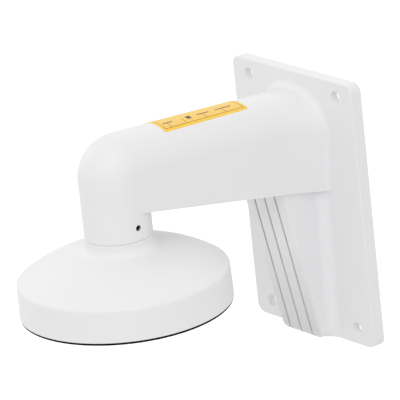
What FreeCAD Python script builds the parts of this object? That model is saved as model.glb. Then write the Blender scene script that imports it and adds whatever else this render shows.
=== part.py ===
import FreeCAD, Part
import math
import os

# Wall bracket for a dome camera: a cast plate, web and hollow arm in one piece, with a cap that
# screws up into the arm's neck. Millimetres. The wall is the plane Y = 0, the arm points towards
# -Y and +Z is up. The origin is the middle of the four wall holes, on the wall.

# Wall plate
plate_width = 122.0
plate_head = 91.6
plate_foot = 92.4
plate_depth = 8.7
plate_corner = 6.0
plate_wall = 5.4
plate_rim = 4.5
edge_break = 0.8
hole_pitch_across = 88.9
hole_pitch_up = 162.6
hole_radius = 4.2

# Arm, elbow and neck
neck_reach = 162.2
neck_radius = 22.5
neck_foot = 23.3
neck_drop = 30.0
bend_radius = 6.3
arm_fall = 0.073
arm_spread = 2.5
underside_at_wall = 11.2
underside_rise = 0.1885
casting_wall = 3.6
arm_tail = 60.0
flare_start = 40.0
flare_radius = 60.0
flare_lift = 0.15
flare_hold = 0.6
root_fillet = 5.0
seam_break = 0.5

# Web under the arm
web_foot_depth = 20.3
web_lean = 0.198
web_foot_half = 19.0
web_head_half = 22.5
web_nose = 6.4
web_edge = 1.2
web_skirt = 8.0
web_face_wall = 5.6
web_floor_wall = 5.0
groove_pitch = 11.5
groove_width = 1.8
groove_depth_head = 1.5
groove_depth_foot = 2.8

# Ribs behind the plate
back_rib = 2.6
back_rib_heights = (-48.0, -4.0, 48.0)

# Cap. The dome's arc runs from the band's top, on band_top, up to the neck's radius
cap_radius = 70.2
cap_height = 48.05
band_height = 21.45
band_draft = 1.7
dome_rise = 18.2
dome_radius = 100.0
hub_fillet = 6.0
band_break = 2.5
cap_wall = 3.6
rim_wall = 6.0
hub_wall = 4.4
shoulder = 6.0
roof_fillet = 4.0
spigot_length = 14.0
spigot_wall = 4.4
thread_play = 0.3
lead_in = 1.0

# Bosses and ribs under the cap
boss_count = 3
boss_circle = 50.0
boss_radius = 4.6
boss_recess = 1.2
boss_hole = 1.65
boss_hole_depth = 11.0
cap_rib_count = 6
cap_rib = 2.4
cap_rib_depth = 8.0

# Seals
seal_inset = 0.8
seal_width = 2.6
seal_proud = 1.45
seal_groove = 0.8
ring_radius = 20.4
ring_section = 0.8
ring_side_play = 0.2

# Set screw
screw_height = 8.9
screw_radius = 2.0
screw_play = 0.05
screw_length = 4.0
screw_point = 0.6
screw_socket = 2.0
screw_socket_depth = 2.2
lock_groove_depth = 1.2
lock_groove_width = 4.6

# Sticker
sticker_length = 70.2
sticker_width = 22.0
sticker_from_wall = 55.2
sticker_shift = 0.9
sticker_turn = 1.0
sticker_thickness = 0.15
sticker_corner = 1.5

# Places shared by the pieces. The neck's straight part ends neck_drop below the plate's head, so
# that the arm keeps its place on the plate
far = 400.0
overlap = 4.0
near = 0.01
neck_head = plate_head - neck_drop
bend_y = -neck_reach + bend_radius
fall_angle = math.atan(arm_fall)
cap_rim = neck_foot - cap_height
bore_radius = neck_radius - casting_wall
spigot_radius = bore_radius - thread_play
spigot_bore = spigot_radius - spigot_wall
screw_z = neck_foot + screw_height
groove_sides = (-1, 0, 1)
band_top = cap_radius - band_height * math.tan(math.radians(band_draft))
seal_radii = (cap_radius - seal_inset - seal_width, cap_radius - seal_inset)


def vec(x, y, z):
    return FreeCAD.Vector(x, y, z)


up = vec(0, 0, 1)
along_x = vec(1, 0, 0)
neck_axis = vec(0, -neck_reach, 0)

# Centre and direction of the arm's round top where the elbow ends
rise_of_bend = vec(0, math.sin(fall_angle), math.cos(fall_angle))
bend_axis = vec(0, bend_y, neck_head)
bend_end = bend_axis + rise_of_bend * bend_radius
bend_top = bend_end + rise_of_bend * neck_radius


def side_prism(points, half_width):
    """Prism across the part, from a closed outline of (y, z) corners."""
    corners = [vec(-half_width, y, z) for y, z in points]
    outline = Part.makePolygon(corners + corners[:1])
    return Part.Face(outline).extrude(vec(2 * half_width, 0, 0))


def post(radius, low, high, x=0.0, y=-neck_reach):
    """Upright cylinder between two heights."""
    return Part.makeCylinder(radius, high - low, vec(x, y, low))


def only_solid(shape):
    """The one solid of a finished piece, with its split faces joined."""
    return shape.removeSplitter().Solids[0]


# Lines that the arm and the web follow
def arm_top(y):
    return bend_top.z - arm_fall * (y - bend_top.y)


def underside(y):
    return underside_at_wall - underside_rise * y


def flare(y):
    run = max(0.0, y + flare_start)
    return flare_radius - math.sqrt(flare_radius ** 2 - run ** 2)


def arm_half(y):
    return neck_radius + arm_spread * (y - bend_y) / (-plate_depth - bend_y) + flare(y)


def web_face(z):
    return -web_foot_depth - web_lean * (z + plate_foot)


def web_meets_arm():
    """Height at which the web's face reaches the arm's underside."""
    z_at_foot = underside_at_wall + underside_rise * web_foot_depth
    slope = underside_rise * web_lean
    return (z_at_foot + slope * plate_foot) / (1 - slope)


def web_half(z):
    share = (z + plate_foot) / (web_meets_arm() + plate_foot)
    return web_foot_half + (web_head_half - web_foot_half) * share


def arm_outline(y, inset, low):
    """Arm's cross-section at Y = y: half an ellipse over two sides that stand on a flat."""
    half = arm_half(y) - inset
    rise = neck_radius + flare_lift * (arm_half(y) - neck_radius) - inset
    crown = vec(0, y, arm_top(y) - inset)
    spring = vec(0, y, crown.z - rise)
    gather = flare_hold * flare(y) / (spring.z - underside(y))
    foot = half - gather * (spring.z - low)
    ellipse = Part.Ellipse(spring + along_x * half, crown, spring)
    over = Part.ArcOfEllipse(ellipse, 0, math.pi).toShape()
    right = Part.makeLine(vec(foot, y, low), spring + along_x * half)
    left = Part.makeLine(spring - along_x * half, vec(-foot, y, low))
    base = Part.makeLine(vec(-foot, y, low), vec(foot, y, low))
    return Part.Wire([right, over, left, base])


def bend_outline(inset, low):
    """The same cross-section where the arm leaves the elbow, square to the arm's top."""
    radius = neck_radius - inset
    foot = bend_end - rise_of_bend * ((bend_end.z - low) / rise_of_bend.z)
    out = along_x * radius
    over = Part.Arc(bend_end + out, bend_end + rise_of_bend * radius, bend_end - out).toShape()
    right = Part.makeLine(foot + out, bend_end + out)
    left = Part.makeLine(bend_end - out, foot - out)
    base = Part.makeLine(foot - out, foot + out)
    return Part.Wire([right, over, left, base])


def straight_arm(inset, low_at_bend, low_at_flare):
    """Arm from the elbow to where it begins to flare."""
    ends = [bend_outline(inset, low_at_bend), arm_outline(-flare_start, inset, low_at_flare)]
    return Part.makeLoft(ends, True, True)


def flared_arm(inset, low, end_y):
    """Arm's last stretch, which widens towards the plate. low gives the foot's height at y."""
    steps = 5
    places = [-flare_start + step * (end_y + flare_start) / steps for step in range(steps + 1)]
    return Part.makeLoft([arm_outline(y, inset, low(y)) for y in places], True, False)


def elbow(inset):
    """Upright neck's top, turned over into the arm, with flat sides inside the bend."""
    radius = neck_radius - inset
    front = Part.Arc(
        vec(radius, -neck_reach, neck_head),
        vec(0, -neck_reach - radius, neck_head),
        vec(-radius, -neck_reach, neck_head),
    ).toShape()
    left = Part.makeLine(vec(-radius, -neck_reach, neck_head), vec(-radius, bend_y, neck_head))
    back = Part.makeLine(vec(-radius, bend_y, neck_head), vec(radius, bend_y, neck_head))
    right = Part.makeLine(vec(radius, bend_y, neck_head), vec(radius, -neck_reach, neck_head))
    profile = Part.Face(Part.Wire([front, left, back, right]))
    return profile.revolve(bend_axis, along_x, -90 - math.degrees(fall_angle))


def elbow_cheek(inset, lift):
    """Block between the neck and the arm, above the underside raised by lift."""
    corners = [
        (-neck_reach, underside(-neck_reach) + lift),
        (-neck_reach, neck_head),
        (bend_y, neck_head),
        bend_foot(lift),
    ]
    return side_prism(corners, neck_radius - inset)


def bend_foot(lift):
    """Point (y, z) of the underside, raised by lift, in the plane where the elbow ends."""
    slope = underside_rise * arm_fall
    z = (underside(bend_y) + lift + slope * neck_head) / (1 + slope)
    return bend_y + arm_fall * (z - neck_head), z


def slab(half_width, low, high, back):
    """Stretch of plate between two heights, as deep as the plate less back."""
    size = (2 * half_width, plate_depth - back, high - low)
    return Part.makeBox(*size, vec(-half_width, -plate_depth, low))


def on_plate_front(edge):
    return max(abs(edge.BoundBox.YMin + plate_depth), abs(edge.BoundBox.YMax + plate_depth)) < near


def root_edges(body, half_width):
    """Edges where something stands on the plate's front, inside the slab's own outline."""
    edges = [e for e in body.Edges if on_plate_front(e)]
    return [e for e in edges if max(e.BoundBox.XMax, -e.BoundBox.XMin) < half_width - near]


def arm_on_plate():
    """Arm with its flare and root fillet, cut off along its underside."""
    low = underside_at_wall - arm_tail
    arm = straight_arm(0, low, low).fuse(flared_arm(0, lambda y: low, -overlap))
    half = plate_width / 2 - plate_corner
    body = slab(half, low - 2 * root_fillet, plate_head - 2 * edge_break, overlap).fuse(arm)
    body = body.makeFillet(root_fillet, root_edges(body, half))
    under = [
        (-plate_depth, underside(-plate_depth)),
        (-far, underside(-far)),
        (-far, -far),
        (far, -far),
        (far, 0),
        (-plate_depth, 0),
    ]
    return body.cut(side_prism(under, far))


def web_outline(z):
    half = web_half(z)
    front = web_face(z)
    corners = [(-half, -overlap), (half, -overlap), (half, front), (-half, front)]
    return Part.makePolygon([vec(x, y, z) for x, y in corners + corners[:1]])


def web_on_plate():
    """Leaning web with a rounded nose, and the skirt that sweeps it into the plate."""
    top = web_meets_arm() + 5 * overlap
    block = Part.makeLoft([web_outline(-plate_foot), web_outline(top)], True, True)
    nose = [e for e in block.Edges if e.BoundBox.ZMax < -plate_foot + near]
    nose = [e for e in nose if e.CenterOfMass.y < -overlap - near]
    block = block.makeFillet(web_nose, nose)
    corners = [e for e in block.Edges if e.BoundBox.ZLength > plate_foot / 2]
    corners = [e for e in corners if e.CenterOfMass.y < -plate_depth]
    block = block.makeFillet(web_edge, corners)
    half = plate_width / 2 - plate_corner
    margin = 8 * web_skirt
    body = slab(half, -plate_foot - margin, top + margin, overlap).fuse(block)
    body = body.makeFillet(web_skirt, root_edges(body, half))
    below = Part.makeBox(far, far, far, vec(-far / 2, -far / 2, -plate_foot - far))
    return body.cut(below).common(below_underside())


def plate():
    """Wall plate with rounded corners and a broken front edge."""
    body = slab(plate_width / 2, -plate_foot, plate_head, 0)
    corners = [e for e in body.Edges if e.BoundBox.YLength > plate_depth - near]
    body = body.makeFillet(plate_corner, corners)
    front = [e for e in body.Edges if on_plate_front(e) and e.BoundBox.ZMax > -plate_foot + near]
    return body.makeFillet(edge_break, front)


def grooves():
    """Three narrow slots down the web's face, deeper towards the foot."""
    low = -plate_foot - overlap
    high = web_meets_arm()
    outline = [
        (web_face(low) - overlap, low),
        (web_face(low) + groove_depth_foot, low),
        (web_face(high) + groove_depth_head, high),
        (web_face(high) - overlap, high),
    ]
    slot = side_prism(outline, groove_width / 2)
    slot = slot.common(below_underside())
    return [slot.translated(along_x * (side * groove_pitch)) for side in groove_sides]


def below_underside():
    """Everything below the arm's underside."""
    corners = [(far, underside(far)), (-far, underside(-far)), (-far, -far), (far, -far)]
    return side_prism(corners, far)


def cable_way():
    """Hollow of the neck, elbow and arm, open below and at the wall."""
    wall = casting_wall
    low_at_bend = bend_foot(wall)[1]
    low_at_flare = underside(-flare_start) + wall
    mouth = arm_outline(-overlap, wall, underside(-overlap) + wall)
    parts = [
        post(bore_radius, neck_foot - overlap, neck_head),
        elbow(wall),
        elbow_cheek(wall, wall),
        straight_arm(wall, low_at_bend, low_at_flare),
        flared_arm(wall, lambda y: underside(y) + wall, -overlap),
        Part.Face(mouth).extrude(vec(0, 2 * overlap, 0)),
    ]
    return parts


def web_hollow():
    """Hollow of the web, open at the wall."""
    low = -plate_foot + web_floor_wall
    high = web_meets_arm() + overlap

    def outline(z):
        half = web_half(z) - casting_wall
        front = web_face(z) + web_face_wall
        corners = [(-half, overlap), (half, overlap), (half, front), (-half, front)]
        return Part.makePolygon([vec(x, y, z) for x, y in corners + corners[:1]])

    return Part.makeLoft([outline(low), outline(high)], True, True).common(below_underside())


def plate_recess():
    """Shallow recess behind the plate, inside its rim, crossed by ribs."""
    half = plate_width / 2 - plate_rim
    low = -plate_foot + plate_rim
    high = plate_head - plate_rim
    depth = plate_depth - plate_wall
    body = Part.makeBox(2 * half, 2 * depth, high - low, vec(-half, -depth, low))
    corners = [e for e in body.Edges if e.BoundBox.YLength > depth]
    body = body.makeFillet(plate_corner - plate_rim, corners)
    for z in back_rib_heights:
        body = body.cut(Part.makeBox(far, far, back_rib, vec(-far / 2, -far / 2, z)))
    return body.cut(Part.makeBox(back_rib, far, far, vec(-back_rib / 2, -far / 2, underside_at_wall)))


def wall_holes():
    holes = []
    for x in (-hole_pitch_across / 2, hole_pitch_across / 2):
        for z in (-hole_pitch_up / 2, hole_pitch_up / 2):
            start = vec(x, -plate_depth - overlap, z)
            holes.append(Part.makeCylinder(hole_radius, plate_depth + 2 * overlap, start, vec(0, 1, 0)))
    return holes


def screw_hole():
    start = vec(spigot_radius - overlap, -neck_reach, screw_z)
    return Part.makeCylinder(screw_radius + screw_play, far, start, along_x)


def wall_bracket():
    """Cast bracket: plate, web, arm, elbow and neck in one piece."""
    neck = post(neck_radius, neck_foot, neck_head)
    seam = [e for e in neck.Edges if e.BoundBox.ZMax < neck_foot + near]
    neck = neck.makeChamfer(seam_break, seam)
    bend = neck.fuse(elbow_cheek(0, 0)).fuse(elbow(0))
    body = plate().fuse(web_on_plate()).fuse(arm_on_plate()).fuse(bend)
    body = body.removeSplitter()
    for tool in grooves() + cable_way() + [web_hollow(), plate_recess(), screw_hole()] + wall_holes():
        body = body.cut(tool)
    return only_solid(body)


def ring_edges(body, radius, z):
    """Circles of this radius about the neck's axis at this height."""
    edges = [e for e in body.Edges if e.BoundBox.ZLength < near and abs(e.BoundBox.ZMax - z) < near]
    return [e for e in edges if abs(e.BoundBox.XMax - radius) < near]


def ring(inner, outer, low, high):
    return post(outer, low, high).cut(post(inner, low - overlap, high + overlap))


def around(shape, count):
    """Copies of a shape spaced evenly about the neck's axis."""
    copies = [shape.copy() for _ in range(count)]
    for step, copy in enumerate(copies):
        copy.rotate(neck_axis, up, 90 + step * 360 / count)
    return copies


def dome_centre():
    """Centre of the arc that the cap's top follows, as radius and height."""
    top = cap_rim + band_height
    half = math.hypot(band_top - neck_radius, dome_rise) / 2
    back = math.sqrt(dome_radius ** 2 - half ** 2) / (2 * half)
    middle_radius = (band_top + neck_radius) / 2
    return middle_radius - back * dome_rise, top + dome_rise / 2 - back * (band_top - neck_radius)


def dome_at(radius, inset=0.0):
    """Height of the cap's top at a radius, or of the surface inset below it."""
    across, height = dome_centre()
    return height + math.sqrt((dome_radius - inset) ** 2 - (radius - across) ** 2)


def turned(below, inner, outer, inset, above):
    """Solid turned about the neck's axis: corners below, the dome's arc, then corners above."""
    arc = [vec(r, -neck_reach, dome_at(r, inset)) for r in (outer, (inner + outer) / 2, inner)]
    rest = [arc[2]] + [vec(r, -neck_reach, z) for r, z in above + below] + [arc[0]]
    lines = [Part.Arc(*arc).toShape()]
    lines += [Part.makeLine(a, b) for a, b in zip(rest, rest[1:])]
    return Part.Face(Part.Wire(lines)).revolve(neck_axis, up, 360)


def cap_outside():
    """Cap without its hollow: rim band, shallow dome and hub."""
    dome_foot, dome_head = dome_at(band_top), dome_at(neck_radius)
    under = [(0, cap_rim), (cap_radius, cap_rim)]
    body = turned(under, neck_radius, band_top, 0, [(neck_radius, neck_foot), (0, neck_foot)])
    body = body.makeFillet(band_break, ring_edges(body, band_top, dome_foot))
    body = body.makeFillet(hub_fillet, ring_edges(body, neck_radius, dome_head))
    return body.makeChamfer(seam_break, ring_edges(body, neck_radius, neck_foot))


def cap_hollow():
    """Hollow under the dome, up into the hub, less the bosses and ribs that stand in it."""
    wide = cap_radius - rim_wall
    hub = neck_radius - hub_wall
    under = [(0, cap_rim - overlap), (wide, cap_rim - overlap)]
    over = [(hub, neck_foot - shoulder), (0, neck_foot - shoulder)]
    body = turned(under, hub, wide, cap_wall, over)
    body = body.makeFillet(roof_fillet, ring_edges(body, wide, dome_at(wide, cap_wall)))
    rib_height = dome_at(hub, cap_wall) + overlap
    webs = turned([], hub, cap_radius, cap_wall + cap_rib_depth, [(hub, rib_height), (cap_radius, rib_height)])
    rib = Part.makeBox(cap_radius, cap_rib, far, vec(0, -neck_reach - cap_rib / 2, cap_rim))
    boss = post(boss_radius, cap_rim + boss_recess, neck_foot, boss_circle)
    for standing in around(rib.common(webs), cap_rib_count) + around(boss, boss_count):
        body = body.cut(standing)
    return body


def spigot():
    """Spigot that screws into the neck, with its lead-in and the set screw's groove."""
    top = neck_foot + spigot_length
    body = post(spigot_radius, neck_foot - overlap, top)
    body = body.makeChamfer(lead_in, ring_edges(body, spigot_radius, top))
    low = screw_z - lock_groove_width / 2
    return body.cut(ring(spigot_radius - lock_groove_depth, cap_radius, low, low + lock_groove_width))


def camera_cap():
    """Turned cap that screws into the neck and carries the camera."""
    foot = cap_rim + boss_recess
    blind = post(boss_hole, foot - overlap, foot + boss_hole_depth, boss_circle)
    half = ring_section + ring_side_play
    tools = around(blind, boss_count) + [
        post(spigot_bore, cap_rim, far),
        ring(*seal_radii, cap_rim - overlap, cap_rim + seal_groove),
        ring(ring_radius - half, ring_radius + half, neck_foot - 2 * ring_section, neck_foot + overlap),
    ]
    body = cap_outside().cut(cap_hollow()).fuse(spigot())
    for tool in tools:
        body = body.cut(tool)
    return only_solid(body)


def rim_seal():
    """Flat rubber ring in the rim's groove, standing proud to meet the camera."""
    return ring(*seal_radii, cap_rim - seal_proud, cap_rim + seal_groove)


def neck_seal():
    """Round rubber ring between the cap's hub and the neck's foot."""
    return Part.makeTorus(ring_radius, ring_section, neck_axis + up * (neck_foot - ring_section))


def set_screw():
    """Socket set screw with a flat point, which rests on the floor of the spigot's groove."""
    tip = vec(spigot_radius - lock_groove_depth, -neck_reach, screw_z)
    end = tip + along_x * screw_length
    body = Part.makeCylinder(screw_radius, screw_length, tip, along_x)
    body = body.makeChamfer(screw_point, [e for e in body.Edges if abs(e.BoundBox.XMax - tip.x) < near])
    reach = screw_socket / math.sqrt(3)
    turns = [math.radians(60 * step) for step in range(7)]
    corners = [end + vec(0, reach * math.cos(turn), reach * math.sin(turn)) for turn in turns]
    socket = Part.Face(Part.makePolygon(corners)).extrude(along_x * -screw_socket_depth)
    return only_solid(body.cut(socket))


def arm_sticker():
    """Printed sticker that follows the arm's round top, laid by hand and so slightly turned."""
    low = underside(0)
    size = (sticker_width, sticker_length, far)
    middle = vec(sticker_shift, -sticker_from_wall - sticker_length / 2, neck_head)
    patch = Part.makeBox(*size, middle - vec(sticker_width / 2, sticker_length / 2, 0))
    corners = [e for e in patch.Edges if e.BoundBox.ZLength > far / 2]
    patch = patch.makeFillet(sticker_corner, corners)
    patch.rotate(middle, up, sticker_turn)
    skin = straight_arm(-sticker_thickness, low, low).cut(straight_arm(0, low, low))
    return only_solid(skin.common(patch))


pieces = {
    "wall_bracket": wall_bracket,
    "camera_cap": camera_cap,
    "rim_seal": rim_seal,
    "neck_seal": neck_seal,
    "set_screw": set_screw,
    "arm_sticker": arm_sticker,
}

os.makedirs("parts", exist_ok=True)
for name, make in pieces.items():
    make().exportStep("parts/" + name + ".step")
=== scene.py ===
"""Looks of a cast camera wall bracket: powder coat, rubber seals, set screw, sticker and stage."""

import math

import bmesh
import bpy
from bpy.props import FloatProperty, FloatVectorProperty, IntProperty, PointerProperty
from mathutils import Matrix, Vector


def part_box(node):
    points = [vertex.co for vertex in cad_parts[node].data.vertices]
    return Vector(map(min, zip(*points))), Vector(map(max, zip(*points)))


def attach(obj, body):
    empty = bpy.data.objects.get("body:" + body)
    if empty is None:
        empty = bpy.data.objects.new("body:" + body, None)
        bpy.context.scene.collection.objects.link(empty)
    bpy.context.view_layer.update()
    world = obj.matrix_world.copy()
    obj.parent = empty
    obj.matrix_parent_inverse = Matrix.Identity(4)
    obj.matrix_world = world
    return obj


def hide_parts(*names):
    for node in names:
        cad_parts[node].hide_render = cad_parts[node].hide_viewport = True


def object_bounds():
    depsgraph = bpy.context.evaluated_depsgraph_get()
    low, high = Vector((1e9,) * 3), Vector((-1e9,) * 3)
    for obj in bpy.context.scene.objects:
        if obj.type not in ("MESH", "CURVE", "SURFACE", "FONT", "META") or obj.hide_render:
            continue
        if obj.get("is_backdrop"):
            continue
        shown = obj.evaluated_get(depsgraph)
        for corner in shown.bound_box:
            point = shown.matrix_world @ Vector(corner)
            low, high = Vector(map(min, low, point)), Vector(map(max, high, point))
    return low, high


bl_info = {
    "name": "Camera Wall Bracket",
    "version": (1, 0, 0),
    "blender": (4, 5, 0),
    "location": "3D View > Sidebar > Bracket",
    "description": "Finishes a cast camera bracket and sets it in a plain studio",
    "category": "Object",
}

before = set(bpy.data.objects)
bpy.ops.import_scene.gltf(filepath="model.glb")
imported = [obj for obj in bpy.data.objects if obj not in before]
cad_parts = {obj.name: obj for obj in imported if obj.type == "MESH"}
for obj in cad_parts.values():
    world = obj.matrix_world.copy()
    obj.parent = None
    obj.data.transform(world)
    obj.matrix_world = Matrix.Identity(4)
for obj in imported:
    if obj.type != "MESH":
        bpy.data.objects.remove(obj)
CAD_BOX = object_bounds()

# Photograph's camera: place in metres, direction in degrees, focal length in pixels of a frame
# that is PHOTO_WIDTH wide, and the nearest and furthest that it sees
PHOTO_WIDTH = 400
SENSOR_WIDTH = 36.0
CAMERA_PLACE = (2.17849, -1.72743, 0.97506)
CAMERA_AZIMUTH = 53.137
CAMERA_ELEVATION = 19.212
CAMERA_ROLL = 6.220
CAMERA_FOCAL = 4405.5
CAMERA_CLIP = (0.05, 60.0)

# Lamps: what they face, the side of each square, and their places
LAMP_TARGET = (0.0, -0.11, 0.02)
LAMP_SIZE = 1.6
KEY_PLACE = (1.3, -1.4, 1.9)
SIDE_PLACE = (-2.2, -0.6, 0.8)
BACK_PLACE = (-1.2, 1.6, 1.3)

# Rim seal: inner and outer radius of its groove, steps round each corner of its lips, the angle
# in degrees from which its edges stay sharp, and the valley between its lips, as shares of the way
# out to the corner and of the valley's depth
SEAL_RADII = (0.0668, 0.0694)
SEAL_STEPS = 5
SEAL_SHARP = 50
SEAL_VALLEY = ((-0.5, 0.2), (-0.25, 0.8), (0.0, 1.0), (0.25, 0.8), (0.5, 0.2))

# Grooves in the web's face: distance apart, half width, depth, and the height where the arm ends
# them. From WEB_FOOT at the plate's foot, the face leans out by WEB_LEAN, and it counts as side
# and not face where its rounded edges fall WEB_EDGE behind it
GROOVE_PITCH = 0.0115
GROOVE_HALF = 0.0010
GROOVE_DEPTH = 0.0033
GROOVE_TOP = 0.0205
WEB_FOOT = 0.0203
WEB_LEAN = 0.198
WEB_EDGE = 0.00217

# Joint between the neck and the cap: its height, the neck's radius, and how near the neck's
# skin its line of painted shade stays
JOINT_HEIGHT = 0.0233
NECK_RADIUS = 0.0225
JOINT_REACH = 0.001

# Print on the sticker. Stems start at the border and reach this share of the panel's half width
# inwards, at these shares of the sticker's half length along it. Bars are given as place and
# half length in the same shares, and the square as its distance across and its share along
STEM_REACH = 0.62
STEMS = (-0.78, -0.42, 0.06, 0.52)
BARS = ((-0.76, 0.11), (0.08, 0.14), (0.56, 0.19))
BAR_HALF = 0.00052
SQUARE = (0.0035, -0.27)
SQUARE_HALF = 0.0018

# Rubber: scale of the bloom's patches, the noise over which the bloom thickens, and the skin's
# specular level, where a plain surface has 0.5
BLOOM_SCALE = 70.0
BLOOM_RANGE = (0.45, 0.75)
RUBBER_SPECULAR = 0.06

# Screw: period of a ring wave at a scale of 1, height of the turning marks, scale of the wear in
# its oxide, the noise over which it wears through, and how much its roughness varies
WAVE_PERIOD = 0.314
TURNING_HEIGHT = 0.00002
WEAR_SCALE = 900.0
WEAR_RANGE = (0.55, 0.7)
WEAR_ROUGHNESS = (-0.1, 0.12)

# Sticker's film: scale and height of its fibre, and how far its shade and roughness vary
FIBRE_SCALE = 420.0
FIBRE_HEIGHT = 0.00001
FILM_SHADE = (0.975, 1.025)
FILM_ROUGHNESS = (0.42, 0.54)

# Direction in degrees of the first boss under the cap
FIRST_BOSS = 90

# Ejector marks on each side of the plate's middle: distance across and height
MARK_SPOTS = ((0.036, -0.066), (0.036, -0.024), (0.047, 0.022), (0.047, 0.064))


# ---------------------------------------------------------------- sizes and colours


def length(name, default, description):
    """Length that a user can change."""
    return FloatProperty(
        name=name, description=description, default=default, min=0.0, precision=5, unit="LENGTH"
    )


def share(name, default, description):
    """Share from 0 to 1 that a user can change."""
    return FloatProperty(
        name=name, description=description, default=default, min=0.0, max=1.0, subtype="FACTOR"
    )


def colour(name, default, description):
    """Colour that a user can change."""
    return FloatVectorProperty(
        name=name, description=description, default=default, min=0.0, max=1.0, subtype="COLOR"
    )


def power(name, default, description):
    """Power of a lamp that a user can change."""
    return FloatProperty(
        name=name, description=description, default=default, min=0.0, unit="POWER"
    )


def brightness(name, default, description):
    """Strength of light, with no upper end, that a user can change."""
    return FloatProperty(name=name, description=description, default=default, min=0.0)


def whole(name, default, low, high, description):
    """Whole number that a user can change."""
    return IntProperty(name=name, description=description, default=default, min=low, max=high)


class BRACKET_PG_coat(bpy.types.PropertyGroup):
    """Powder coat of the casting and the cap, with shade painted into it on the web and at the
    joint.
    """

    casting: colour("Casting", (0.845, 0.84, 0.852), "Coat on the plate, web and arm")
    cap: colour("Cap", (0.85, 0.85, 0.855), "Coat on the cap")
    # Thin Coat is painted shade: a darker coat deep in the web's grooves, where the grooves lie in
    # shade
    thin: colour("Thin Coat", (0.66, 0.66, 0.67), "Coat deep in the web's grooves")
    # Foot is painted shade: the coat darkens towards the foot of the web's face
    foot: colour("Foot", (0.68, 0.68, 0.68), "Coat at the foot of the web's face, which is greyer")
    foot_shade_reach: length("Foot Reach", 0.075, "How far up the web's face the grey reaches")
    # Joint is painted shade: a darker line in the groove at the joint under the neck
    joint: colour("Joint", (0.66, 0.66, 0.67), "Rubbed coat at the joint under the neck")
    joint_shade_width: length("Joint Width", 0.0003, "Width of the rubbed line at the joint")
    roughness: share("Roughness", 0.46, "Roughness of the coat")
    spread: share("Roughness Spread", 0.10, "How far the roughness varies over the coat")
    cloud: share("Cloudiness", 0.015, "How far the coat's shade drifts from place to place")
    cloud_size: length("Cloud Size", 0.060, "Size of the drifts in shade")
    peel: length("Peel Size", 0.0012, "Size of the coat's fine waves")
    peel_height: length("Peel Height", 0.00002, "Height of the coat's fine waves")


class BRACKET_PG_rubber(bpy.types.PropertyGroup):
    """Rubber of the rim seal and the neck ring."""

    body: colour("Rubber", (0.0025, 0.0025, 0.003), "Colour of the rubber")
    bloom: colour("Bloom", (0.007, 0.007, 0.0075), "Paler bloom on the rubber's skin")
    roughness: share("Roughness", 0.8, "Roughness of the rubber")
    grain: length("Grain Size", 0.0009, "Size of the mould's grain")
    grain_height: length("Grain Height", 0.00003, "Height of the mould's grain")


class BRACKET_PG_seal(bpy.types.PropertyGroup):
    """Section of the rim seal: a foot in the groove and two round lips below the rim."""

    foot: length("Foot Depth", 0.0008, "How far the seal's foot goes into the rim's groove")
    proud: length("Proud", 0.00175, "How far the lips stand below the rim")
    spread: length("Lip Spread", 0.00035, "How far the lips reach past the foot on each side")
    round: length("Lip Radius", 0.00045, "Radius of the lips' corners")
    valley: length("Valley", 0.00035, "Depth of the valley between the lips")
    steps: whole("Steps", 192, 24, 512, "Steps round the ring")


class BRACKET_PG_screw(bpy.types.PropertyGroup):
    """Black oxide on the set screw."""

    oxide: colour("Oxide", (0.030, 0.030, 0.032), "Colour of the black oxide")
    bare: colour("Bare Steel", (0.55, 0.55, 0.55), "Colour where the oxide is thin")
    roughness: share("Roughness", 0.34, "Roughness of the oxide")
    turning: length("Turning Marks", 0.00157, "Distance between the turning marks on the end")


class BRACKET_PG_sticker(bpy.types.PropertyGroup):
    """Printed sticker on the arm."""

    margin: colour("Margin", (0.96, 0.62, 0.045), "Colour outside the border line")
    panel: colour("Panel", (0.93, 0.61, 0.13), "Colour inside the border line")
    ink: colour("Ink", (0.085, 0.030, 0.022), "Colour of the printed bars")
    line: colour("Line", (0.36, 0.09, 0.03), "Colour of the printed lines")
    width: length("Width", 0.022, "Width of the sticker")
    reach: length("Length", 0.0702, "Length of the sticker along the arm")
    turn: FloatProperty(
        name="Turn",
        description="How far the sticker is turned",
        default=math.radians(1.0),
        unit="ROTATION",
    )
    inset: length("Border Inset", 0.0023, "Distance from the sticker's edge to its border line")
    line_width: length("Line Width", 0.00046, "Width of the printed lines")


class BRACKET_PG_threads(bpy.types.PropertyGroup):
    """Threads cut in the cap's three bosses."""

    count: whole("Bosses", 3, 1, 12, "Number of bosses")
    circle: length("Boss Circle", 0.050, "Radius of the circle that the bosses stand on")
    radius: length("Hole Radius", 0.00165, "Radius of the boss holes")
    pitch: length("Pitch", 0.0007, "Pitch of the thread")
    depth: length("Depth", 0.0098, "Length of the thread")
    crest: length("Crest", 0.00022, "Height of the thread's crest over the hole's wall")
    recess: length("Recess", 0.0012, "How far the bosses stop short of the rim")


class BRACKET_PG_marks(bpy.types.PropertyGroup):
    """Round marks that the ejector pins leave behind the plate."""

    radius: length("Pin Radius", 0.0036, "Radius of the ejector pins")
    height: length("Height", 0.0005, "How far the marks stand proud")
    floor: length("Recess Floor", 0.0033, "Distance from the wall to the floor of the recess")


class BRACKET_PG_stage(bpy.types.PropertyGroup):
    """Floor, lamps and surrounding light."""

    floor_drop: length("Floor Drop", 0.45, "Height of the bracket's foot over the floor")
    floor_size: length("Floor Size", 14.0, "Width of the floor")
    floor_colour: colour("Floor", (0.80, 0.80, 0.80), "Colour of the floor")
    floor_glow: brightness("Floor Glow", 0.45, "Light that the camera sees on the floor")
    sky: brightness("Sky", 0.79, "Strength of the light from all round")
    key: power("Key Lamp", 15.7, "Power of the lamp high in front")
    side: power("Side Lamp", 5.6, "Power of the lamp on the left")
    back: power("Back Lamp", 4.1, "Power of the lamp behind")


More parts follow.
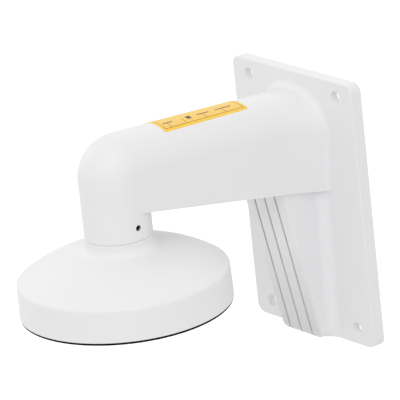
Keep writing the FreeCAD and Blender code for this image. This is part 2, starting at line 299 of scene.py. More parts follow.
class BRACKET_PG_settings(bpy.types.PropertyGroup):
    """All sizes and colours of the bracket's looks."""

    coat: PointerProperty(type=BRACKET_PG_coat)
    rubber: PointerProperty(type=BRACKET_PG_rubber)
    seal: PointerProperty(type=BRACKET_PG_seal)
    screw: PointerProperty(type=BRACKET_PG_screw)
    sticker: PointerProperty(type=BRACKET_PG_sticker)
    threads: PointerProperty(type=BRACKET_PG_threads)
    marks: PointerProperty(type=BRACKET_PG_marks)
    stage: PointerProperty(type=BRACKET_PG_stage)


# ---------------------------------------------------------------- node helpers


def add(tree, kind, inputs=None, **settings):
    """New node with its settings, its input values and the links into it."""
    made = tree.nodes.new(kind)
    for name, value in settings.items():
        setattr(made, name, value)
    for name, value in (inputs or {}).items():
        plug(tree, made.inputs[name], value)
    return made


def plug(tree, socket, value):
    """Links a socket into another, or gives it a plain value."""
    if isinstance(value, bpy.types.NodeSocket):
        tree.links.new(value, socket)
    else:
        socket.default_value = value


def maths(tree, operation, *values, clamp=False):
    """Result of one Math node."""
    made = add(tree, "ShaderNodeMath", {i: v for i, v in enumerate(values)}, operation=operation)
    made.use_clamp = clamp
    return made.outputs[0]


def mix_colours(tree, factor, low, high):
    """Colour that goes from low to high with the factor."""
    made = add(tree, "ShaderNodeMix", data_type="RGBA", clamp_factor=True)
    # The node's names for its sockets are shared by its other types, so they go by number
    plug(tree, made.inputs[0], factor)
    plug(tree, made.inputs[6], low)
    plug(tree, made.inputs[7], high)
    return made.outputs[2]


def spread_out(tree, value, low, high):
    """Value from 0 to 1 laid over the range from low to high."""
    ends = {"Value": value, "To Min": low, "To Max": high}
    return add(tree, "ShaderNodeMapRange", ends, clamp=True).outputs["Result"]


def ranged(tree, value, low, high):
    """0 where the value is low or beyond it, 1 where it is high, and even between the two."""
    ends = {"Value": value, "From Min": low, "From Max": high}
    return add(tree, "ShaderNodeMapRange", ends, clamp=True).outputs["Result"]


def noise(tree, place, scale, detail, roughness=0.5):
    """Noise from 0 to 1 over a place."""
    values = {"Vector": place, "Scale": scale, "Detail": detail, "Roughness": roughness}
    return add(tree, "ShaderNodeTexNoise", values).outputs["Fac"]


def swing(tree, wave, amount):
    """Noise made to swing about 0, by half the amount each way."""
    return maths(tree, "MULTIPLY", maths(tree, "SUBTRACT", wave, 0.5), amount)


def least(tree, distances):
    """Smallest of several distances."""
    found = distances[0]
    for distance in distances[1:]:
        found = maths(tree, "MINIMUM", found, distance)
    return found


def place_nodes(tree):
    """Sets the nodes out in columns, inputs on the left."""
    column_width, row_height = 220, 190
    depth = {}

    def depth_of(node, trail=()):
        if node.name not in depth and node.name not in trail:
            after = [link.to_node for link in tree.links if link.from_node == node]
            steps = [depth_of(other, trail + (node.name,)) for other in after]
            depth[node.name] = 1 + max(steps, default=-1)
        return depth.get(node.name, 0)

    rows = {}
    for node in tree.nodes:
        column = depth_of(node)
        row = rows[column] = rows.get(column, -1) + 1
        node.location = (-column * column_width, -row * row_height)


def new_group(name, inputs, outputs):
    """Shader node group with its sockets, as the tree, its inputs and its output node."""
    group = bpy.data.node_groups.new(name, "ShaderNodeTree")
    for title, kind in inputs:
        group.interface.new_socket(name=title, in_out="INPUT", socket_type=kind)
    for title, kind in outputs:
        group.interface.new_socket(name=title, in_out="OUTPUT", socket_type=kind)
    source = group.nodes.new("NodeGroupInput")
    return group, source.outputs, group.nodes.new("NodeGroupOutput")


def grouped(tree, group, inputs):
    """Group placed in a material, with its values."""
    made = add(tree, "ShaderNodeGroup", node_tree=group)
    for name, value in inputs.items():
        plug(tree, made.inputs[name], value)
    return made.outputs


def new_material(name, shown, roughness, metallic=0.0):
    """Material with a plain Principled surface, as the material, its tree and the surface."""
    material = bpy.data.materials.new(name)
    material.use_nodes = True
    material.diffuse_color = (*shown, 1.0)
    tree = material.node_tree
    tree.nodes.clear()
    surface = add(tree, "ShaderNodeBsdfPrincipled")
    surface.inputs["Roughness"].default_value = roughness
    surface.inputs["Metallic"].default_value = metallic
    output = add(tree, "ShaderNodeOutputMaterial")
    tree.links.new(surface.outputs["BSDF"], output.inputs["Surface"])
    return material, tree, surface


def object_place(tree, centre=(0.0, 0.0, 0.0), turn=0.0):
    """Object coordinates, measured from a centre and turned about the upright axis."""
    source = add(tree, "ShaderNodeTexCoord").outputs["Object"]
    values = {"Vector": source, "Location": centre, "Rotation": (0.0, 0.0, turn)}
    return add(tree, "ShaderNodeMapping", values, vector_type="TEXTURE").outputs["Vector"]


def finish_surface(tree, surface, shade, rough, height, distance, strength):
    """Gives a surface its colour, roughness and bump, and lays its nodes out."""
    values = {"Height": height, "Distance": distance, "Strength": strength}
    normal = add(tree, "ShaderNodeBump", values).outputs["Normal"]
    for name, made in (("Base Color", shade), ("Roughness", rough), ("Normal", normal)):
        tree.links.new(made, surface.inputs[name])
    place_nodes(tree)


# ---------------------------------------------------------------- finishes


def powder_coat_group():
    """Powder coat: slight drifts in shade and gloss, and fine waves like orange peel."""
    group, given, out = new_group(
        "Powder Coat",
        [
            ("Vector", "NodeSocketVector"),
            ("Colour", "NodeSocketColor"),
            ("Cloudiness", "NodeSocketFloat"),
            ("Cloud Scale", "NodeSocketFloat"),
            ("Peel Scale", "NodeSocketFloat"),
            ("Roughness", "NodeSocketFloat"),
            ("Roughness Spread", "NodeSocketFloat"),
        ],
        [
            ("Color", "NodeSocketColor"),
            ("Roughness", "NodeSocketFloat"),
            ("Height", "NodeSocketFloat"),
        ],
    )
    cloud = noise(group, given["Vector"], given["Cloud Scale"], detail=3.0)
    peel = noise(group, given["Vector"], given["Peel Scale"], detail=1.5, roughness=0.4)
    drift = swing(group, cloud, given["Cloudiness"])
    speck = swing(group, peel, given["Cloudiness"])
    shade = maths(group, "ADD", maths(group, "ADD", drift, speck), 1.0)
    toned = add(group, "ShaderNodeHueSaturation", {"Value": shade, "Color": given["Colour"]})
    spread = swing(group, cloud, given["Roughness Spread"])
    rough = maths(group, "ADD", given["Roughness"], spread, clamp=True)
    group.links.new(toned.outputs["Color"], out.inputs["Color"])
    group.links.new(rough, out.inputs["Roughness"])
    group.links.new(peel, out.inputs["Height"])
    place_nodes(group)
    return group


def moulded_rubber_group():
    """Moulded rubber: fine grain with a faint paler bloom."""
    group, given, out = new_group(
        "Moulded Rubber",
        [
            ("Vector", "NodeSocketVector"),
            ("Rubber", "NodeSocketColor"),
            ("Bloom", "NodeSocketColor"),
            ("Grain Scale", "NodeSocketFloat"),
            ("Roughness", "NodeSocketFloat"),
        ],
        [
            ("Color", "NodeSocketColor"),
            ("Roughness", "NodeSocketFloat"),
            ("Height", "NodeSocketFloat"),
        ],
    )
    patches = noise(group, given["Vector"], BLOOM_SCALE, detail=4.0, roughness=0.6)
    grain = noise(group, given["Vector"], given["Grain Scale"], detail=2.0)
    thick = ranged(group, patches, *BLOOM_RANGE)
    shade = mix_colours(group, thick, given["Rubber"], given["Bloom"])
    rough = maths(group, "ADD", given["Roughness"], swing(group, grain, 0.2))
    group.links.new(shade, out.inputs["Color"])
    group.links.new(rough, out.inputs["Roughness"])
    group.links.new(grain, out.inputs["Height"])
    place_nodes(group)
    return group


def joint_shade_group():
    """Fine darker line painted round the joint where two turned parts meet, as shade in the groove
    between them.
    """
    group, given, out = new_group(
        "Joint Shade",
        [
            ("Vector", "NodeSocketVector"),
            ("Colour", "NodeSocketColor"),
            ("Painted Shade", "NodeSocketColor"),
            ("Width", "NodeSocketFloat"),
            ("Radius", "NodeSocketFloat"),
            ("Reach", "NodeSocketFloat"),
        ],
        [("Color", "NodeSocketColor")],
    )
    height = add(group, "ShaderNodeSeparateXYZ", {"Vector": given["Vector"]}).outputs["Z"]
    values = {0: given["Vector"], 1: (1.0, 1.0, 0.0)}
    flat = add(group, "ShaderNodeVectorMath", values, operation="MULTIPLY").outputs["Vector"]
    out_by = add(group, "ShaderNodeVectorMath", {0: flat}, operation="LENGTH").outputs["Value"]
    from_skin = maths(group, "ABSOLUTE", maths(group, "SUBTRACT", out_by, given["Radius"]))
    on_skin = maths(group, "LESS_THAN", from_skin, given["Reach"])
    half = maths(group, "DIVIDE", given["Width"], 2.0)
    on_line = maths(group, "LESS_THAN", maths(group, "ABSOLUTE", height), half)
    mask = maths(group, "MULTIPLY", on_line, on_skin)
    shade = mix_colours(group, mask, given["Colour"], given["Painted Shade"])
    group.links.new(shade, out.inputs["Color"])
    place_nodes(group)
    return group


def shared_group(name, build):
    """Node group of this name, built the first time it is wanted."""
    return bpy.data.node_groups.get(name) or build()


def web_shade_masks(tree, reach):
    """Masks of painted shade: on the web's face, fading up from its foot, and in its grooves,
    fading down to it.
    """
    parts = add(tree, "ShaderNodeSeparateXYZ", {"Vector": object_place(tree)}).outputs
    rise = maths(tree, "SUBTRACT", parts["Z"], CAD_BOX[0][2])
    depth = maths(tree, "ADD", parts["Y"], maths(tree, "MULTIPLY_ADD", rise, WEB_LEAN, WEB_FOOT))
    # The painted shade at the foot is full a sixteenth of its reach up,
    # the painted shade in the grooves a third of a groove's depth in
    low = ranged(tree, rise, reach, reach / 16)
    face = maths(tree, "MULTIPLY", low, ranged(tree, depth, WEB_EDGE, 0.0))
    across = maths(tree, "ABSOLUTE", parts["X"])
    # Painted shade: darker coat deep in the grooves, fading out towards the foot
    outer = maths(tree, "ABSOLUTE", maths(tree, "SUBTRACT", across, GROOVE_PITCH))
    beside = maths(tree, "LESS_THAN", maths(tree, "MINIMUM", across, outer), GROOVE_HALF)
    inside = maths(tree, "MULTIPLY", beside, ranged(tree, depth, 0.0, GROOVE_DEPTH / 3))
    shallow = maths(tree, "LESS_THAN", depth, GROOVE_DEPTH)
    under = maths(tree, "LESS_THAN", parts["Z"], GROOVE_TOP)
    groove = maths(tree, "MULTIPLY", inside, maths(tree, "MULTIPLY", shallow, under))
    return face, maths(tree, "MULTIPLY", groove, maths(tree, "SUBTRACT", 1.0, low))


def coat_material(name, shown, coat, with_web_shade=False):
    """Satin powder coat on cast aluminium, with painted shade at the joint, and with or without
    painted shade on the web.
    """
    material, tree, surface = new_material(name, shown, coat.roughness)
    values = {
        "Vector": object_place(tree),
        "Colour": (*shown, 1.0),
        "Cloudiness": coat.cloud,
        "Cloud Scale": 1.0 / coat.cloud_size,
        "Peel Scale": 1.0 / coat.peel,
        "Roughness": coat.roughness,
        "Roughness Spread": coat.spread,
    }
    made = grouped(tree, shared_group("Powder Coat", powder_coat_group), values)
    # A darker line of painted shade round the joint under the neck
    low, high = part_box("camera_cap")
    joint = ((low.x + high.x) / 2, (low.y + high.y) / 2, JOINT_HEIGHT)
    values = {
        "Vector": object_place(tree, joint),
        "Colour": made["Color"],
        "Painted Shade": (*coat.joint, 1.0),
        "Width": coat.joint_shade_width,
        "Radius": NECK_RADIUS,
        "Reach": JOINT_REACH,
    }
    shade = grouped(tree, shared_group("Joint Shade", joint_shade_group), values)["Color"]
    # Painted shade on the web: darker coat towards its foot and deep in its grooves
    if with_web_shade:
        face, groove = web_shade_masks(tree, coat.foot_shade_reach)
        shade = mix_colours(tree, face, shade, (*coat.foot, 1.0))
        shade = mix_colours(tree, groove, shade, (*coat.thin, 1.0))
    rough, height = made["Roughness"], made["Height"]
    finish_surface(tree, surface, shade, rough, height, coat.peel_height, strength=0.6)
    return material


def rubber_material(name, rubber):
    """Black moulded rubber."""
    material, tree, surface = new_material(name, tuple(rubber.body), rubber.roughness)
    surface.inputs["Specular IOR Level"].default_value = RUBBER_SPECULAR
    values = {
        "Vector": object_place(tree),
        "Rubber": (*rubber.body, 1.0),
        "Bloom": (*rubber.bloom, 1.0),
        "Grain Scale": 1.0 / rubber.grain,
        "Roughness": rubber.roughness,
    }
    made = grouped(tree, shared_group("Moulded Rubber", moulded_rubber_group), values)
    shade, rough, height = made["Color"], made["Roughness"], made["Height"]
    finish_surface(tree, surface, shade, rough, height, rubber.grain_height, strength=0.7)
    return material


def oxide_material(name, screw, centre):
    """Black oxide on a turned steel screw, with rings about the screw's axis."""
    material, tree, surface = new_material(name, tuple(screw.oxide), screw.roughness, metallic=0.8)
    place = object_place(tree, centre)
    rings = add(
        tree,
        "ShaderNodeTexWave",
        {"Vector": place, "Scale": WAVE_PERIOD / screw.turning, "Distortion": 0.6, "Detail": 1.0},
        wave_type="RINGS",
        rings_direction="X",
    ).outputs["Fac"]
    worn = noise(tree, place, WEAR_SCALE, detail=3.0)
    thin = ranged(tree, worn, *WEAR_RANGE)
    shade = mix_colours(tree, thin, (*screw.oxide, 1.0), (*screw.bare, 1.0))
    smoother, rougher = (screw.roughness + change for change in WEAR_ROUGHNESS)
    rough = spread_out(tree, worn, smoother, rougher)
    finish_surface(tree, surface, shade, rough, rings, TURNING_HEIGHT, strength=0.5)
    return material


def block_distance(tree, across, along, centre, half):
    """Distance from an upright block of print, less than 0 inside it."""
    sides = []
    for place, middle, reach in ((across, centre[0], half[0]), (along, centre[1], half[1])):
        off = maths(tree, "ABSOLUTE", maths(tree, "SUBTRACT", place, middle))
        sides.append(maths(tree, "SUBTRACT", off, reach))
    return maths(tree, "MAXIMUM", *sides)


def print_material(name, sticker, low, high):
    """Amber film with a border line and plain printed shapes."""
    material, tree, surface = new_material(name, tuple(sticker.panel), 0.5)
    half_width, half_length = sticker.width / 2, sticker.reach / 2
    place = object_place(tree, (low + high) / 2, sticker.turn)
    parts = add(tree, "ShaderNodeSeparateXYZ", {"Vector": place}).outputs
    across, along = parts["X"], parts["Y"]
    half_line = sticker.line_width / 2
    edge = (half_width - sticker.inset, half_length - sticker.inset)
    stem = STEM_REACH * edge[0]

    def block(centre, half):
        return block_distance(tree, across, along, centre, half)

    border = block((0.0, 0.0), edge)
    lines = [maths(tree, "SUBTRACT", maths(tree, "ABSOLUTE", border), half_line)]
    for at in STEMS:
        lines.append(block((edge[0] - stem / 2, at * half_length), (stem / 2, half_line)))
    solids = []
    for at, half in BARS:
        solids.append(block((edge[0] - stem, at * half_length), (BAR_HALF, half * half_length)))
    solids.append(block((SQUARE[0], SQUARE[1] * half_length), (SQUARE_HALF, SQUARE_HALF)))
    soft = sticker.line_width / 6
    film = (*sticker.margin, 1.0)
    for distance, ink in (
        (border, sticker.panel),
        (least(tree, lines), sticker.line),
        (least(tree, solids), sticker.ink),
    ):
        film = mix_colours(tree, ranged(tree, distance, soft, -soft), film, (*ink, 1.0))
    fibre = noise(tree, place, FIBRE_SCALE, detail=3.0)
    shade = spread_out(tree, fibre, *FILM_SHADE)
    toned = add(tree, "ShaderNodeHueSaturation", {"Value": shade, "Color": film}).outputs["Color"]
    rough = spread_out(tree, fibre, *FILM_ROUGHNESS)
    finish_surface(tree, surface, toned, rough, fibre, FIBRE_HEIGHT, strength=0.4)
    return material


def dress(node, material):
    """Gives a solid of the part its material."""
    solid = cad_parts[node]
    solid.data.materials.clear()
    solid.data.materials.append(material)
    return solid


# ---------------------------------------------------------------- repeated details


def new_geometry_tree(name, inputs):
    """Geometry node tree with named inputs, as the tree, its inputs and its output node."""
    tree = bpy.data.node_groups.new(name, "GeometryNodeTree")
    tree.is_modifier = True
    tree.interface.new_socket(name="Places", in_out="INPUT", socket_type="NodeSocketGeometry")
    for title, kind in inputs:
        tree.interface.new_socket(name=title, in_out="INPUT", socket_type=kind)
    tree.interface.new_socket(name="Geometry", in_out="OUTPUT", socket_type="NodeSocketGeometry")
    source = tree.nodes.new("NodeGroupInput")
    return tree, source.outputs, tree.nodes.new("NodeGroupOutput")


def finish_geometry_tree(tree, given, out, instances):
    """Makes the copies real, gives them their material and lays the tree out."""
    real = add(tree, "GeometryNodeRealizeInstances", {"Geometry": instances})
    painted = add(
        tree,
        "GeometryNodeSetMaterial",
        {"Geometry": real.outputs["Geometry"], "Material": given["Material"]},
    )
    tree.links.new(painted.outputs["Geometry"], out.inputs["Geometry"])
    place_nodes(tree)
    return tree


def ring_tree():
    """Ring that sweeps the outline of its section round a circle."""
    tree, given, out = new_geometry_tree(
        "Swept Ring",
        [
            ("Radius", "NodeSocketFloat"),
            ("Steps", "NodeSocketInt"),
            ("Centre", "NodeSocketVector"),
            ("Material", "NodeSocketMaterial"),
        ],
    )
    section = add(tree, "GeometryNodeMeshToCurve", {"Mesh": given["Places"]})
    circle = add(
        tree,
        "GeometryNodeCurvePrimitiveCircle",
        {"Resolution": given["Steps"], "Radius": given["Radius"]},
        mode="RADIUS",
    )
    round_path = {"Curve": circle.outputs["Curve"]}
    upright = add(tree, "GeometryNodeSetCurveNormal", round_path, mode="Z_UP")
    swept = add(
        tree,
        "GeometryNodeCurveToMesh",
        {"Curve": upright.outputs["Curve"], "Profile Curve": section.outputs["Curve"]},
    )
    placed = add(
        tree,
        "GeometryNodeTransform",
        {"Geometry": swept.outputs["Mesh"], "Translation": given["Centre"]},
    )
    return finish_geometry_tree(tree, given, out, placed.outputs["Geometry"])


def thread_tree():
    """Thread inside each boss hole: a small ridge wound up a helix."""
    tree, given, out = new_geometry_tree(
        "Boss Threads",
        [
            ("Radius", "NodeSocketFloat"),
            ("Depth", "NodeSocketFloat"),
            ("Pitch", "NodeSocketFloat"),
            ("Crest", "NodeSocketFloat"),
            ("Material", "NodeSocketMaterial"),
        ],
    )
    turns = add(tree, "ShaderNodeMath", {0: given["Depth"], 1: given["Pitch"]}, operation="DIVIDE")
    helix = add(
        tree,
        "GeometryNodeCurveSpiral",
        {
            "Resolution": 20,
            "Rotations": turns.outputs[0],
            "Start Radius": given["Radius"],
            "End Radius": given["Radius"],
            "Height": given["Depth"],
        },
    )
    ridge = add(
        tree,
        "GeometryNodeCurvePrimitiveCircle",
        {"Resolution": 4, "Radius": given["Crest"]},
        mode="RADIUS",
    )
    swept = add(
        tree,
        "GeometryNodeCurveToMesh",
        {
            "Curve": helix.outputs["Curve"],
            "Profile Curve": ridge.outputs["Curve"],
            "Fill Caps": True,
        },
    )
    copies = add(
        tree,
        "GeometryNodeInstanceOnPoints",
        {"Points": given["Places"], "Instance": swept.outputs["Mesh"]},
    )
    return finish_geometry_tree(tree, given, out, copies.outputs["Instances"])


def mark_tree():
    """Shallow round marks that stand on the floor of the recess behind the plate."""
    tree, given, out = new_geometry_tree(
        "Ejector Marks",
        [
            ("Radius", "NodeSocketFloat"),
            ("Height", "NodeSocketFloat"),
            ("Turn", "NodeSocketVector"),
            ("Material", "NodeSocketMaterial"),
        ],
    )
    disc = add(
        tree,
        "GeometryNodeMeshCylinder",
        {"Vertices": 40, "Radius": given["Radius"], "Depth": given["Height"]},
        fill_type="NGON",
    )
    copies = add(
        tree,
        "GeometryNodeInstanceOnPoints",
        {
            "Points": given["Places"],
            "Instance": disc.outputs["Mesh"],
            "Rotation": given["Turn"],
        },
    )
    return finish_geometry_tree(tree, given, out, copies.outputs["Instances"])


def baked(name, places, tree, values, edges=()):
    """Plain mesh object made by a geometry node tree on places, with any edges between them."""
    points = bpy.data.meshes.new(name + "_places")
    points.from_pydata(places, list(edges), [])
    piece = bpy.data.objects.new(name, points)
    bpy.context.scene.collection.objects.link(piece)
    modifier = piece.modifiers.new(tree.name, "NODES")
    modifier.node_group = tree
    for item in tree.interface.items_tree:
        if item.item_type == "SOCKET" and item.in_out == "INPUT" and item.name in values:
            modifier[item.identifier] = values[item.name]
    graph = bpy.context.evaluated_depsgraph_get()
    mesh = bpy.data.meshes.new_from_object(piece.evaluated_get(graph), depsgraph=graph)
    if not mesh.polygons:
        raise RuntimeError(name + " came out empty")
    piece.modifiers.remove(modifier)
    piece.data = mesh
    mesh.name = name
    bpy.data.meshes.remove(points)
    face_outwards(mesh)
    return piece


def face_outwards(mesh):
    """Joins doubled points and turns every face outwards."""
    shell = bmesh.new()
    shell.from_mesh(mesh)
    bmesh.ops.remove_doubles(shell, verts=shell.verts, dist=1e-7)
    bmesh.ops.recalc_face_normals(shell, faces=shell.faces)
    shell.to_mesh(mesh)
    shell.free()


def arc(centre, radius, start, end, steps):
    """Points of an arc in the section, from one angle in degrees to another."""
    turns = [math.radians(start + (end - start) * step / steps) for step in range(steps + 1)]
    return [(centre[0] + radius * math.cos(t), centre[1] + radius * math.sin(t)) for t in turns]


def seal_section(seal, width):
    """Outline of the seal's section about the middle of the groove, with the rim's face at 0."""
    half, wide = width / 2, width / 2 + seal.spread
    low = -seal.proud + seal.round
    corner = wide - seal.round
    outline = [(half, 0.0), (half, seal.foot), (-half, seal.foot), (-half, 0.0), (-wide, 0.0)]
    outline += arc((-corner, low), seal.round, 180, 270, SEAL_STEPS)
    outline += [(x * corner, -seal.proud + deep * seal.valley) for x, deep in SEAL_VALLEY]
    outline += arc((corner, low), seal.round, 270, 360, SEAL_STEPS)
    outline.append((wide, 0.0))
    return outline


def boss_places(threads):
    """Where the threads start, at the mouths of the boss holes."""
    low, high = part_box("camera_cap")
    middle = (low + high) / 2
    places = []
    for step in range(threads.count):
        turn = math.radians(FIRST_BOSS + step * 360 / threads.count)
        out = Vector((math.cos(turn), math.sin(turn), 0)) * threads.circle
        places.append((middle.x + out.x, middle.y + out.y, low.z + threads.recess + threads.pitch))
    return places


def mark_places(marks):
    """Where the ejector pins pushed, in the corners between the plate's ribs."""
    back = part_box("wall_bracket")[1].y - marks.floor
    spots = []
    for side in (-1, 1):
        for across, up in MARK_SPOTS:
            spots.append((side * across, back + marks.height / 2, up))
    return spots


# ---------------------------------------------------------------- studio


def light_path_share(tree):
    """1 for the rays that should meet plain white: seen, reflected or passed straight through."""
    path = add(tree, "ShaderNodeLightPath").outputs
    seen = maths(tree, "MAXIMUM", path["Is Camera Ray"], path["Is Glossy Ray"])
    return maths(tree, "MAXIMUM", seen, path["Is Transmission Ray"])


def floor_material(stage):
    """Pale floor that looks white but keeps the bracket's shadow, and is clear from below."""
    material = bpy.data.materials.new("pale_floor")
    material.use_nodes = True
    tree = material.node_tree
    tree.nodes.clear()
    matt = add(tree, "ShaderNodeBsdfDiffuse", {"Color": (*stage.floor_colour, 1.0)}).outputs["BSDF"]
    glow = add(tree, "ShaderNodeEmission", {"Strength": stage.floor_glow}).outputs["Emission"]
    bright = add(tree, "ShaderNodeAddShader", {0: matt, 1: glow}).outputs["Shader"]
    seen = add(tree, "ShaderNodeMixShader", {0: light_path_share(tree), 1: matt, 2: bright})
    below = add(tree, "ShaderNodeNewGeometry").outputs["Backfacing"]
    clear = add(tree, "ShaderNodeBsdfTransparent").outputs["BSDF"]
    shown = add(tree, "ShaderNodeMixShader", {0: below, 1: seen.outputs["Shader"], 2: clear})
    output = add(tree, "ShaderNodeOutputMaterial")
    tree.links.new(shown.outputs["Shader"], output.inputs["Surface"])
    place_nodes(tree)
    return material


def make_floor(stage):
    """Square floor under the bracket."""
    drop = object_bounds()[0].z - stage.floor_drop
    half = stage.floor_size / 2
    corners = [(-half, -half, drop), (half, -half, drop), (half, half, drop), (-half, half, drop)]
    mesh = bpy.data.meshes.new("floor")
    mesh.from_pydata(corners, [], [(0, 1, 2, 3)])
    mesh.materials.append(floor_material(stage))
    floor = bpy.data.objects.new("floor", mesh)
    bpy.context.scene.collection.objects.link(floor)
    floor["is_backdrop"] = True


def make_sky(stage):
    """Even light from all round, which is white where the camera or a reflection sees it."""
    world = bpy.data.worlds.new("studio")
    bpy.context.scene.world = world
    world.use_nodes = True
    tree = world.node_tree
    tree.nodes.clear()
    soft = add(tree, "ShaderNodeBackground", {"Color": (1, 1, 1, 1), "Strength": stage.sky})
    white = add(tree, "ShaderNodeBackground", {"Color": (1, 1, 1, 1), "Strength": 1.0})
    mixed = add(
        tree,
        "ShaderNodeMixShader",
        {0: light_path_share(tree), 1: soft.outputs["Background"], 2: white.outputs["Background"]},
    )
    output = add(tree, "ShaderNodeOutputWorld")
    tree.links.new(mixed.outputs["Shader"], output.inputs["Surface"])
    place_nodes(tree)


def make_lamp(name, place, energy):
    """Square soft lamp that faces the bracket."""
    data = bpy.data.lights.new(name, "AREA")
    data.shape = "SQUARE"
    data.size = LAMP_SIZE
    data.energy = energy
    lamp = bpy.data.objects.new(name, data)
    lamp.location = place
    lamp.rotation_mode = "QUATERNION"
    facing = Vector(LAMP_TARGET) - Vector(place)
    lamp.rotation_quaternion = facing.to_track_quat("-Z", "Y")
    bpy.context.scene.collection.objects.link(lamp)


def make_camera():
    """Camera at the photograph's place, with its long lens and slight roll."""
    azimuth, elevation = math.radians(CAMERA_AZIMUTH), math.radians(CAMERA_ELEVATION)
    roll = math.radians(CAMERA_ROLL)
    back = Vector(
        (
            math.sin(azimuth) * math.cos(elevation),
            -math.cos(azimuth) * math.cos(elevation),
            math.sin(elevation),
        )
    )
    right = (-back).cross(Vector((0, 0, 1))).normalized()
    down = (-back).cross(right)
    turned_right = right * math.cos(roll) + down * math.sin(roll)
    turned_down = down * math.cos(roll) - right * math.sin(roll)
    data = bpy.data.cameras.new("photo_camera")
    data.sensor_width = SENSOR_WIDTH
    data.lens = CAMERA_FOCAL / PHOTO_WIDTH * SENSOR_WIDTH
    data.clip_start, data.clip_end = CAMERA_CLIP
    camera = bpy.data.objects.new("photo_camera", data)
    axes = Matrix((turned_right, -turned_down, back)).transposed().to_4x4()
    camera.matrix_world = Matrix.Translation(CAMERA_PLACE) @ axes
    bpy.context.scene.collection.objects.link(camera)
    bpy.context.scene.camera = camera


# ---------------------------------------------------------------- operators


class BRACKET_OT_casting(bpy.types.Operator):
    """Give the plate, web and arm their powder coat, with painted shade on the web and at the joint
    """

    bl_idname = "bracket.casting"
    bl_label = "Coat the Casting"

    def execute(self, context):
        coat = context.scene.bracket.coat
        finish = coat_material("casting_coat", tuple(coat.casting), coat, with_web_shade=True)
        dress("wall_bracket", finish)
        return {"FINISHED"}


class BRACKET_OT_cap(bpy.types.Operator):
    """Give the cap its powder coat, with painted shade at the joint under the neck"""

    bl_idname = "bracket.cap"
    bl_label = "Coat the Cap"

    def execute(self, context):
        coat = context.scene.bracket.coat
        dress("camera_cap", coat_material("cap_coat", tuple(coat.cap), coat))
        return {"FINISHED"}


class BRACKET_OT_seals(bpy.types.Operator):
    """Give the rim seal and the neck ring their rubber"""

    bl_idname = "bracket.seals"
    bl_label = "Finish the Seals"

    def execute(self, context):
        rubber = context.scene.bracket.rubber
        moulded = rubber_material("rim_rubber", rubber)
        dress("rim_seal", moulded)
        dress("neck_seal", rubber_material("ring_rubber", rubber))
        self.lipped_ring(context.scene.bracket.seal, moulded)
        return {"FINISHED"}

    def lipped_ring(self, seal, moulded):
        """Rim seal with its lips, in place of the plain ring."""
        low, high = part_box("rim_seal")
        inner, outer = SEAL_RADII
        outline = seal_section(seal, outer - inner)
        count = len(outline)
        values = {
            "Radius": (inner + outer) / 2,
            "Steps": seal.steps,
            "Centre": ((low.x + high.x) / 2, (low.y + high.y) / 2, high.z - seal.foot),
            "Material": moulded,
        }
        # Swept round the circle, a section's own Y points down
        places = [(across, -up, 0.0) for across, up in outline]
        edges = [(step, (step + 1) % count) for step in range(count)]
        piece = baked("lipped_rim_seal", places, ring_tree(), values, edges)
        piece.data.shade_smooth()
        piece.data.set_sharp_from_angle(angle=math.radians(SEAL_SHARP))
        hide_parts("rim_seal")
        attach(piece, "root")


class BRACKET_OT_screw(bpy.types.Operator):
    """Give the set screw its black oxide"""

    bl_idname = "bracket.screw"
    bl_label = "Finish the Set Screw"

    def execute(self, context):
        low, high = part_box("set_screw")
        screw = context.scene.bracket.screw
        dress("set_screw", oxide_material("black_oxide", screw, (low + high) / 2))
        return {"FINISHED"}


class BRACKET_OT_sticker(bpy.types.Operator):
    """Print the sticker on the arm"""

    bl_idname = "bracket.sticker"
    bl_label = "Print the Sticker"

    def execute(self, context):
        low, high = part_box("arm_sticker")
        film = print_material("amber_film", context.scene.bracket.sticker, low, high)
        dress("arm_sticker", film)
        return {"FINISHED"}


class BRACKET_OT_threads(bpy.types.Operator):
    """Cut the threads in the cap's boss holes"""

    bl_idname = "bracket.threads"
    bl_label = "Cut the Boss Threads"

    def execute(self, context):
        threads = context.scene.bracket.threads
        values = {
            "Radius": threads.radius,
            "Depth": threads.depth,
            "Pitch": threads.pitch,
            "Crest": threads.crest,
            "Material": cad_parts["camera_cap"].data.materials[0],
        }
        piece = baked("boss_threads", boss_places(threads), thread_tree(), values)
        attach(piece, "root")
        return {"FINISHED"}


class BRACKET_OT_marks(bpy.types.Operator):
    """Add the ejector pins' marks behind the plate"""

    bl_idname = "bracket.marks"
    bl_label = "Add the Ejector Marks"

    def execute(self, context):
        marks = context.scene.bracket.marks
        values = {
            "Radius": marks.radius,
            "Height": marks.height,
            "Turn": (math.pi / 2, 0.0, 0.0),
            "Material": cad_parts["wall_bracket"].data.materials[0],
        }
        piece = baked("ejector_marks", mark_places(marks), mark_tree(), values)
        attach(piece, "root")
        return {"FINISHED"}


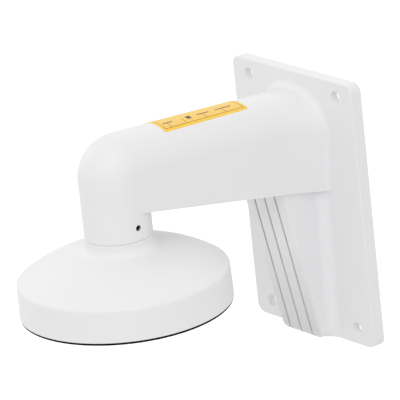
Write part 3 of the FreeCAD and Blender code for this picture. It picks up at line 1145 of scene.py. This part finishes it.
class BRACKET_OT_stage(bpy.types.Operator):
    """Set up the floor, the light and the camera"""

    bl_idname = "bracket.stage"
    bl_label = "Set Up the Studio"

    def execute(self, context):
        stage = context.scene.bracket.stage
        make_floor(stage)
        make_sky(stage)
        make_lamp("key_lamp", KEY_PLACE, stage.key)
        make_lamp("side_lamp", SIDE_PLACE, stage.side)
        make_lamp("back_lamp", BACK_PLACE, stage.back)
        make_camera()
        context.scene.view_settings.view_transform = "Standard"
        return {"FINISHED"}


class BRACKET_PT_panel(bpy.types.Panel):
    """Steps and settings of the bracket's looks"""

    bl_idname = "BRACKET_PT_panel"
    bl_label = "Camera Wall Bracket"
    bl_space_type = "VIEW_3D"
    bl_region_type = "UI"
    bl_category = "Bracket"

    def draw(self, context):
        settings = context.scene.bracket
        for part, steps in PANEL_ROWS:
            box = self.layout.box()
            group = getattr(settings, part)
            for name in group.__annotations__:
                box.prop(group, name)
            for step in steps:
                box.operator(step)


PANEL_ROWS = (
    ("coat", ("bracket.casting", "bracket.cap")),
    ("rubber", ()),
    ("seal", ("bracket.seals",)),
    ("screw", ("bracket.screw",)),
    ("sticker", ("bracket.sticker",)),
    ("threads", ("bracket.threads",)),
    ("marks", ("bracket.marks",)),
    ("stage", ("bracket.stage",)),
)

CLASSES = (
    BRACKET_PG_coat,
    BRACKET_PG_rubber,
    BRACKET_PG_seal,
    BRACKET_PG_screw,
    BRACKET_PG_sticker,
    BRACKET_PG_threads,
    BRACKET_PG_marks,
    BRACKET_PG_stage,
    BRACKET_PG_settings,
    BRACKET_OT_casting,
    BRACKET_OT_cap,
    BRACKET_OT_seals,
    BRACKET_OT_screw,
    BRACKET_OT_sticker,
    BRACKET_OT_threads,
    BRACKET_OT_marks,
    BRACKET_OT_stage,
    BRACKET_PT_panel,
)


def register():
    for item in CLASSES:
        bpy.utils.register_class(item)
    bpy.types.Scene.bracket = PointerProperty(type=BRACKET_PG_settings)


def unregister():
    del bpy.types.Scene.bracket
    for item in reversed(CLASSES):
        bpy.utils.unregister_class(item)


def main():
    register()
    bpy.ops.bracket.casting()
    bpy.ops.bracket.cap()
    bpy.ops.bracket.seals()
    bpy.ops.bracket.screw()
    bpy.ops.bracket.sticker()
    bpy.ops.bracket.threads()
    bpy.ops.bracket.marks()
    bpy.ops.bracket.stage()


if __name__ == "__main__":
    main()
